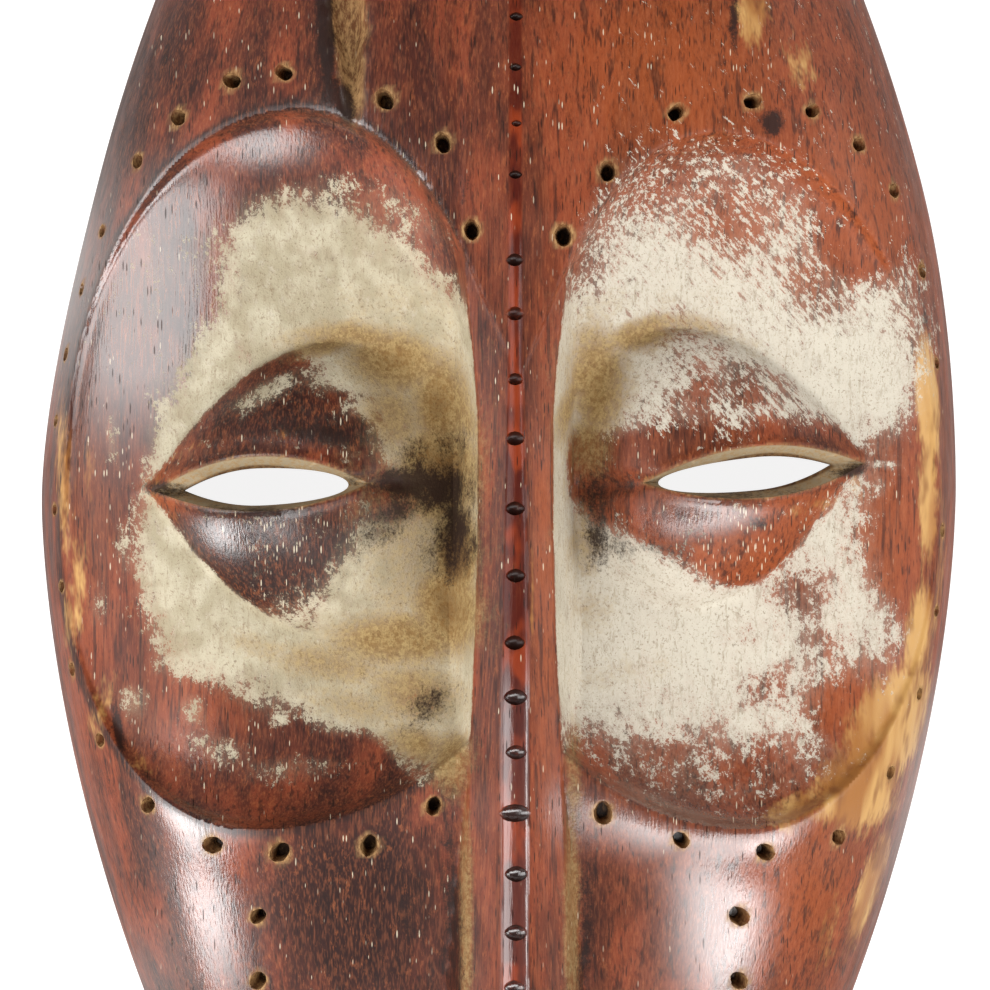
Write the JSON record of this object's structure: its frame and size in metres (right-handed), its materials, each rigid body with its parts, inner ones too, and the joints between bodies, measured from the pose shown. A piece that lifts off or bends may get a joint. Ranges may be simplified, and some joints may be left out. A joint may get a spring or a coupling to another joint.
{
  "type": "lega mask",
  "caption": "Long oval face mask carved in hardwood, with a ridged nose, whitened eye sockets, slit eyes and a hollow back.",
  "frame": {"origin": "middle of the back rim, in the plane that the rim rests on", "axes": "+Z out of the face, +Y towards the forehead, +X to the right of the face as it is looked at"},
  "size_m": [0.1314, 0.25, 0.0557],
  "materials": {
    "patinated_hardwood": "glossy red-brown patina on bare carved wood, with worn white clay in the eye sockets"
  },
  "bodies": {
    "root": {"mask": "patinated_hardwood"}
  },
  "joints": []
}
